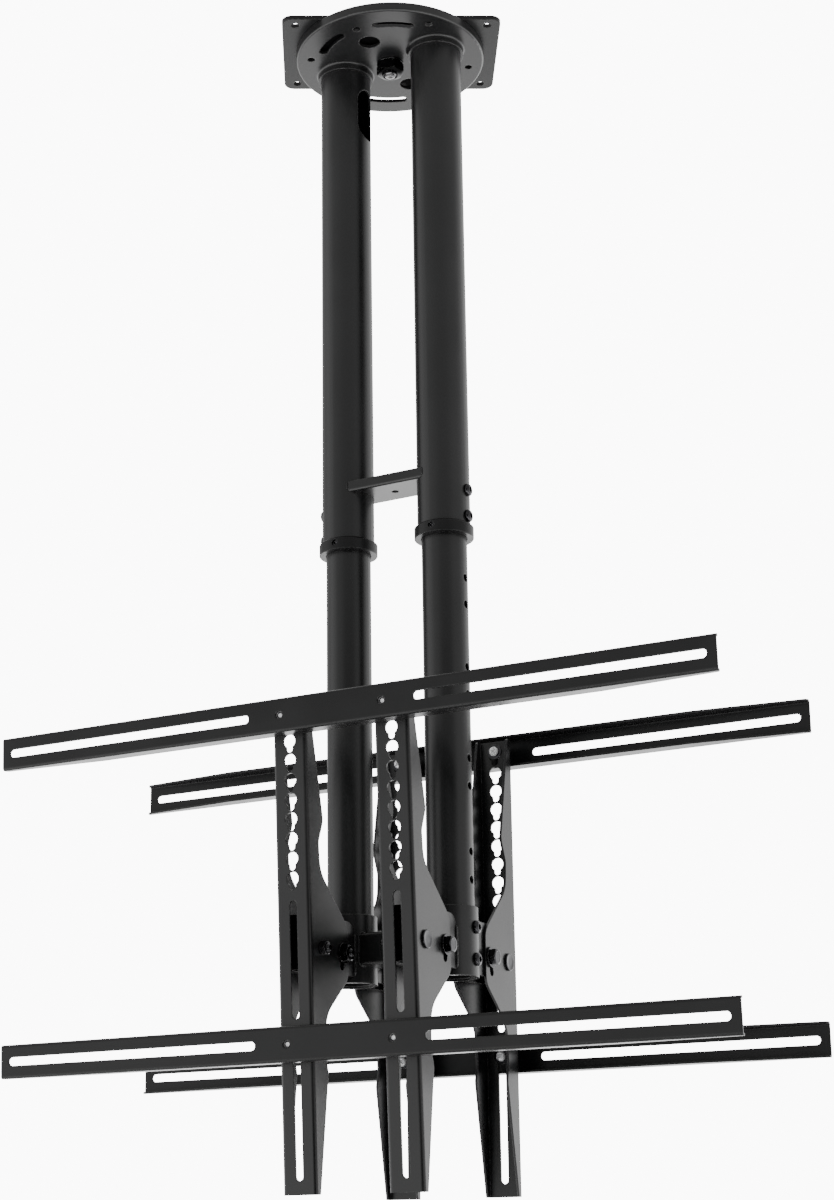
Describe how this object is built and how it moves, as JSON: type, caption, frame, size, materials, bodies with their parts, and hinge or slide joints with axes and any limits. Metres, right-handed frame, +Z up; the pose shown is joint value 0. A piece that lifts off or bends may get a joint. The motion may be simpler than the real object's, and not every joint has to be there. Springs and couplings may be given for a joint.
{
  "type": "tv ceiling mount",
  "caption": "Ceiling mount for screens back to back: swivel disc, twin telescopic poles, tilting uprights and slotted rails.",
  "frame": {"origin": "centre of the ceiling plate's upper face, on the swivel axis", "axes": "+Z up, +X along the rails, -Y towards the front screen"},
  "size_m": [0.828, 0.2943, 1.3178],
  "materials": {
    "powder_black": "fine textured satin black powder coat",
    "fastener_black": "black oxide, semi-gloss",
    "fastener_zinc": "bright zinc plate",
    "bush_plastic": "moulded, matt"
  },
  "bodies": {
    "ceiling": {"ceiling_plate": "powder_black", "pivot_stud": "fastener_zinc", "pivot_spacer": "bush_plastic", "pivot_washer": "fastener_black", "pivot_nut": "fastener_black"},
    "swivel_frame": {"swivel_disc": "powder_black", "cross_bar": "powder_black", "ring_set_screws": "fastener_black", "height_bolts": "fastener_black", "outer_pole_left": "powder_black", "outer_pole_right": "powder_black", "foot_ring_left": "powder_black", "foot_ring_right": "powder_black"},
    "drop_frame": {"sleeve_screws": "fastener_black", "head_tie": "powder_black", "inner_pole_left": "powder_black", "inner_pole_right": "powder_black", "guide_bush_left": "bush_plastic", "guide_bush_right": "bush_plastic", "head_sleeve_left": "powder_black", "head_sleeve_right": "powder_black", "fork_front_left": "powder_black", "fork_front_right": "powder_black", "pivot_bolts_front": "fastener_black", "pivot_bolt_nuts_front": "fastener_black", "lock_bolts_front": "fastener_black", "lock_washers_front": "fastener_black", "lock_bolt_nuts_front": "fastener_black", "fork_back_left": "powder_black", "fork_back_right": "powder_black", "pivot_bolts_back": "fastener_black", "pivot_bolt_nuts_back": "fastener_black", "lock_bolts_back": "fastener_black", "lock_washers_back": "fastener_black", "lock_bolt_nuts_back": "fastener_black"},
    "front_frame": {"upright_front_left": "powder_black", "upright_front_right": "powder_black", "rail_front_top": "powder_black", "rail_front_bottom": "powder_black", "rail_screws_front": "fastener_zinc", "rail_washers_front": "fastener_black", "rail_nuts_front": "fastener_zinc"},
    "back_frame": {"upright_back_left": "powder_black", "upright_back_right": "powder_black", "rail_back_top": "powder_black", "rail_back_bottom": "powder_black", "rail_screws_back": "fastener_zinc", "rail_washers_back": "fastener_black", "rail_nuts_back": "fastener_zinc"}
  },
  "joints": [
    {"name": "swivel", "type": "hinge", "parent": "ceiling", "child": "swivel_frame", "pos_m": [0, 0, -0.0053], "axis": [0, 0, 1], "range_deg": [-180, 180]},
    {"name": "height_slide", "type": "slide", "parent": "swivel_frame", "child": "drop_frame", "axis": [0, 0, 1], "range_m": [0, 0.402]},
    {"name": "front_tilt", "type": "hinge", "parent": "drop_frame", "child": "front_frame", "pos_m": [0, -0.098, -1.072], "axis": [1, 0, 0], "range_deg": [-2.8, 17.2]},
    {"name": "back_tilt", "type": "hinge", "parent": "drop_frame", "child": "back_frame", "pos_m": [0, 0.098, -1.072], "axis": [-1, 0, 0], "range_deg": [0, 20]}
  ]
}
